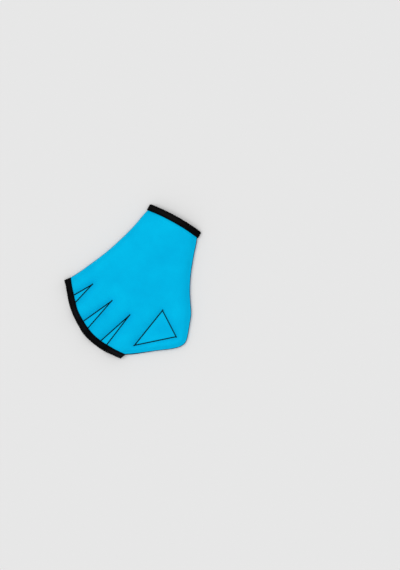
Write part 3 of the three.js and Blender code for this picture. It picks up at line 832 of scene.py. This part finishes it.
def stitch_mesh(name, runs, pitch, radius, sink, material):
    """Rows of short stitches along lines on the cloth, joined in one mesh.

    Each run is its points and the outward ways there. A stitch rises out of its hole, lies along
    the cloth and dives again, and is a little thinner at its ends. The thread is two plies twisted
    together, and its lay is the length of a full turn, in radii.
    """
    points, faces = [], []
    ring = np.linspace(0, 2 * np.pi, THREAD_SIDES, endpoint=False)
    share = np.linspace(0, 1, THREAD_STEPS)
    arch = np.sin(np.pi * share) ** 0.5
    sizes = radius * (1 - THREAD_THINNING + THREAD_THINNING * arch)
    for line, ways in runs:
        steps = np.linalg.norm(np.diff(line, axis=0), axis=1)
        lengths = np.concatenate([[0], np.cumsum(steps)])
        count = max(1, round(lengths[-1] / pitch))
        spacing = lengths[-1] / count
        for n in range(count):
            along = n * spacing + STITCH_GAP / 2 + share * (spacing - STITCH_GAP)
            middle, up = (np.stack([np.interp(along, lengths, values[:, k]) for k in range(3)], -1)
                          for values in (line, ways))
            forward = middle[-1] - middle[0]
            forward /= np.linalg.norm(forward)
            side = np.cross(forward, up)
            side /= np.linalg.norm(side, axis=1, keepdims=True)
            middle = middle + up * (arch * (sink + radius * THREAD_LIFT) - sink)[:, None]
            base = len(points) * THREAD_SIDES
            twist = 2 * np.pi * along / (PLY_LAY * radius)
            for m, r, t, u, v in zip(middle, sizes, twist, side, up):
                plies = r * (1 - PLY_DEPTH * (1 - np.abs(np.cos(ring - t)) ** PLY_GROOVE))[:, None]
                section = np.cos(ring)[:, None] * u + THREAD_FLATNESS * np.sin(ring)[:, None] * v
                points.append(m + plies * section)
            faces += (base + np.array(loops_to_faces(THREAD_STEPS, THREAD_SIDES, False))).tolist()
    piece = make_mesh(name, np.vstack(points), faces, None, [material])
    outward_faces(piece)
    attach(piece, "root")
    return piece


WEB_STITCH_PITCH = 2.9
WEB_THREAD_RADIUS = 0.88
WEB_SINK = 0.2
WEB_LINE_STEP = 0.5
SEAM_STITCH_PITCH = 2.9
SEAM_THREAD_RADIUS = 0.26
SEAM_THREAD_SINK = 0.2


def web_stitches(panel, material):
    """The stitches of the webs on one panel's outer face."""
    up = np.array([0, 0, 1.0 if panel == "back" else -1.0])
    runs = []
    for ends in STITCH_LINES:
        plan = resampled(np.array(ends), WEB_LINE_STEP)
        height, _ = panel_faces(plan, panel)
        runs.append((np.column_stack([slid(plan, panel), height]), np.tile(up, (len(plan), 1))))
    return stitch_mesh(panel + "_stitches", runs, WEB_STITCH_PITCH, WEB_THREAD_RADIUS, WEB_SINK, material)


# Materials
def new_material(name, colour, roughness, specular):
    """A principled material with its nodes, links, shader and the object's own coordinates."""
    material = bpy.data.materials.new(name)
    material.use_nodes = True
    nodes, links = material.node_tree.nodes, material.node_tree.links
    shader = nodes["Principled BSDF"]
    shader.inputs["Base Color"].default_value = (*colour, 1)
    shader.inputs["Roughness"].default_value = roughness
    shader.inputs["Specular IOR Level"].default_value = specular
    return material, nodes, links, shader, nodes.new("ShaderNodeTexCoord").outputs["Object"]


def noise(nodes, links, place, scale, detail):
    """Soft noise, with its scale in lumps a metre."""
    node = nodes.new("ShaderNodeTexNoise")
    node.inputs["Scale"].default_value = scale
    node.inputs["Detail"].default_value = detail
    links.new(place, node.inputs["Vector"])
    return node.outputs["Fac"]


def bands(nodes, links, place, direction, period, distortion):
    """Even waves along one axis, with a period in metres."""
    node = nodes.new("ShaderNodeTexWave")
    node.wave_type, node.bands_direction = "BANDS", direction
    node.inputs["Scale"].default_value = math.pi / 10 / period
    node.inputs["Distortion"].default_value = distortion
    node.inputs["Detail"].default_value = 1
    links.new(place, node.inputs["Vector"])
    return node.outputs["Fac"]


def maths(nodes, links, operation, *values):
    """One step of arithmetic on numbers or on other nodes' outputs."""
    node = nodes.new("ShaderNodeMath")
    node.operation = operation
    for socket, value in zip(node.inputs, values):
        if isinstance(value, (int, float)):
            socket.default_value = value
        else:
            links.new(value, socket)
    return node.outputs["Value"]


def bump(nodes, links, shader, height, strength, distance):
    """Bump of the surface by a height from 0 to 1, over a distance in metres."""
    node = nodes.new("ShaderNodeBump")
    node.inputs["Strength"].default_value = strength
    node.inputs["Distance"].default_value = distance
    links.new(height, node.inputs["Height"])
    links.new(node.outputs["Normal"], shader.inputs["Normal"])


def coloured(nodes, links, shader, share, stops):
    """The shader's colour between two stops, each a share and a colour."""
    ramp = nodes.new("ShaderNodeValToRGB")
    elements = ramp.color_ramp.elements
    for element, (position, colour) in zip(elements, stops):
        element.position, element.color = position, (*colour, 1)
    links.new(share, ramp.inputs["Fac"])
    links.new(ramp.outputs["Color"], shader.inputs["Base Color"])


# The knit's row height and column width in metres, how far its legs slant, and the scales of its
# fuzz and mottle
COURSE = 0.00068
WALE = 0.00086
LOOP_SLANT = 1.1
FUZZ_SCALE = 900
MOTTLE_SCALE = 38


def knit(nodes, links, place):
    """The height of fine plain knitting: two slanted legs in each wale, a loop in each course."""
    axes = nodes.new("ShaderNodeSeparateXYZ")
    links.new(place, axes.inputs["Vector"])
    from_wale = maths(nodes, links, "PINGPONG", maths(nodes, links, "DIVIDE", axes.outputs["X"], WALE), 0.5)
    legs = maths(nodes, links, "SINE", maths(nodes, links, "MULTIPLY", from_wale, 2 * math.pi))
    along = maths(nodes, links, "DIVIDE", axes.outputs["Y"], COURSE)
    slanted = maths(nodes, links, "MULTIPLY_ADD", from_wale, LOOP_SLANT, along)
    loops = maths(nodes, links, "SINE", maths(nodes, links, "MULTIPLY", slanted, 2 * math.pi))
    return maths(nodes, links, "MULTIPLY", legs, maths(nodes, links, "MULTIPLY_ADD", loops, 0.35, 0.65))


def jersey_material(name, dark, light, specular):
    """Knitted jersey: fine loops over a soft mottle, with a little fuzz."""
    material, nodes, links, shader, place = new_material(name, light, 0.85, specular)
    fuzz = noise(nodes, links, place, FUZZ_SCALE, 4)
    mottle = maths(nodes, links, "MULTIPLY_ADD", noise(nodes, links, place, MOTTLE_SCALE, 3), 0.9, -0.22)
    grain = maths(nodes, links, "MULTIPLY_ADD", fuzz, 0.12, mottle)
    loops = knit(nodes, links, place)
    coloured(nodes, links, shader, maths(nodes, links, "MULTIPLY_ADD", loops, 0.5, grain),
             [(0.0, dark), (1.0, light)])
    bump(nodes, links, shader, maths(nodes, links, "MULTIPLY_ADD", fuzz, 0.25, loops), 0.6, 0.00014)
    return material


CELL_SCALE = 4500


def foam_material():
    """The cut edge of closed-cell foam, with fine open cells."""
    material, nodes, links, shader, place = new_material("foam", (0.005, 0.005, 0.006), 0.9, 0.06)
    cells = nodes.new("ShaderNodeTexVoronoi")
    cells.inputs["Scale"].default_value = CELL_SCALE
    links.new(place, cells.inputs["Vector"])
    coloured(nodes, links, shader, cells.outputs["Distance"], [(0.1, (0.003, 0.003, 0.004)),
                                                               (0.7, (0.011, 0.011, 0.013))])
    bump(nodes, links, shader, cells.outputs["Distance"], 0.5, 0.0001)
    return material


# The tape's yarns in metres, and the scale of its faded patches
YARN = 0.00045
FADE_SCALE = 24


def tape_material(name, light):
    """Black binding tape: fine yarns along it, crossing the modelled ribs, darker at its edges and fold."""
    material, nodes, links, shader, place = new_material(name, light, 0.6, 0.025)
    flat = nodes.new("ShaderNodeUVMap").outputs["UV"]
    yarns = bands(nodes, links, flat, "Y", YARN, 0.6)
    ends = bands(nodes, links, flat, "X", RIB_PITCH * MM / 2, 0.6)
    weave = maths(nodes, links, "ADD", yarns, maths(nodes, links, "MULTIPLY", ends, 0.6))
    fade = maths(nodes, links, "MULTIPLY_ADD", noise(nodes, links, place, FADE_SCALE, 3), 2.4, -0.65)
    axes = nodes.new("ShaderNodeSeparateXYZ")
    links.new(flat, axes.inputs["Vector"])
    half = WRIST_BINDING_WIDTH * MM / 2
    # The tone is darker towards the tape's outer edge and its fold, and lighter in the middle of each leg
    from_edge = maths(nodes, links, "PINGPONG", axes.outputs["Y"], half)
    edge_darkening = maths(nodes, links, "MULTIPLY_ADD", from_edge, 1.1 / half, 0.2)
    tone = maths(nodes, links, "MULTIPLY", weave, maths(nodes, links, "MULTIPLY", fade, edge_darkening))
    coloured(nodes, links, shader, tone, [(0.05, (0.0007, 0.0007, 0.0009)), (1.0, light)])
    bump(nodes, links, shader, weave, 0.45, 0.00015)
    return material


FIBRE_SCALE = 2600


def thread_material():
    """Spun polyester thread, with its fibres' faint streaks."""
    material, nodes, links, shader, place = new_material("thread", (0.002, 0.003, 0.006), 0.55, 0.05)
    fibre = noise(nodes, links, place, FIBRE_SCALE, 2)
    coloured(nodes, links, shader, fibre, [(0.35, (0.0008, 0.0011, 0.0024)),
                                           (0.7, (0.0021, 0.0031, 0.0062))])
    bump(nodes, links, shader, fibre, 0.3, 0.0001)
    return material


# The glove
CYAN_DARK = (0.0003, 0.409, 0.739)
CYAN = (0.0008, 0.564, 0.906)
LINING_DARK = (0.010, 0.010, 0.012)
LINING = (0.022, 0.022, 0.026)

cyan = jersey_material("cyan_jersey", CYAN_DARK, CYAN, 0.02)
lining = jersey_material("black_jersey", LINING_DARK, LINING, 0.2)
foam = foam_material()
wrist_black = tape_material("wrist_tape", (0.0085, 0.0079, 0.0076))
finger_black = tape_material("finger_tape", (0.0125, 0.0113, 0.0131))
thread = thread_material()

back = panel_piece("back", "back_panel", [cyan, foam, lining])
palm = panel_piece("palm", "palm_panel", [cyan, foam, lining])
wrist, *wrist_run = wrist_tape(wrist_black)
upper_strip, *upper_run = finger_tape("back", "back_finger_tape", "back_finger_binding", finger_black)
lower_strip, *lower_run = finger_tape("palm", "palm_finger_tape", "palm_finger_binding", finger_black)
back_stitches = web_stitches("back", thread)
palm_stitches = web_stitches("palm", thread)
wrist_seam, upper_seam, lower_seam = (
    stitch_mesh(name + "_stitches", [run], SEAM_STITCH_PITCH, SEAM_THREAD_RADIUS, SEAM_THREAD_SINK, thread)
    for name, run in (("wrist", wrist_run), ("back_finger", upper_run), ("palm_finger", lower_run))
)


# Floor, light and camera
FLOOR_SIZE = 8


def floor():
    """A plain pale floor."""
    material, *_ = new_material("floor", (0.8, 0.8, 0.8), 1.0, 0.0)
    bpy.ops.mesh.primitive_plane_add(size=FLOOR_SIZE, location=(0, 0, 0))
    plane = bpy.context.object
    plane.name = "floor"
    plane.data.materials.append(material)


# The photograph's right and up on the floor
PHOTO_RIGHT = Vector((-0.819, -0.574, 0))
PHOTO_UP = Vector((0.574, -0.819, 0))
SUN_WAY = -0.35 * PHOTO_RIGHT + 0.15 * PHOTO_UP + Vector((0, 0, 3))
SUN_SHARE = 0.5
SUN_ANGLE = math.radians(60)


def lights():
    """Even light from all round and a wide soft sun from the photograph's upper left. Together they
    light the open floor to its own colour."""
    world = bpy.data.worlds.new("studio")
    world.use_nodes = True
    sky = world.node_tree.nodes["Background"]
    sky.inputs["Color"].default_value = (1, 1, 1, 1)
    sky.inputs["Strength"].default_value = 1 - SUN_SHARE
    bpy.context.scene.world = world
    data = bpy.data.lights.new("sun", "SUN")
    data.angle = SUN_ANGLE
    way = SUN_WAY.normalized()
    data.energy = SUN_SHARE * math.pi / way.z
    lamp = bpy.data.objects.new("sun", data)
    lamp.rotation_euler = way.to_track_quat("Z", "Y").to_euler()
    bpy.context.scene.collection.objects.link(lamp)


EYE = Vector((-0.0755, -0.0479, 1.852))
EYE_TURN = math.radians(215)


def camera():
    """The camera, straight above the glove and turned as in the photograph."""
    data = bpy.data.cameras.new("camera")
    data.lens = 90
    data.sensor_width = 36
    eye = bpy.data.objects.new("camera", data)
    eye.location = EYE
    eye.rotation_euler = (0, 0, EYE_TURN)
    bpy.context.scene.collection.objects.link(eye)
    bpy.context.scene.camera = eye


floor()
lights()
camera()
bpy.context.scene.view_settings.view_transform = "Standard"
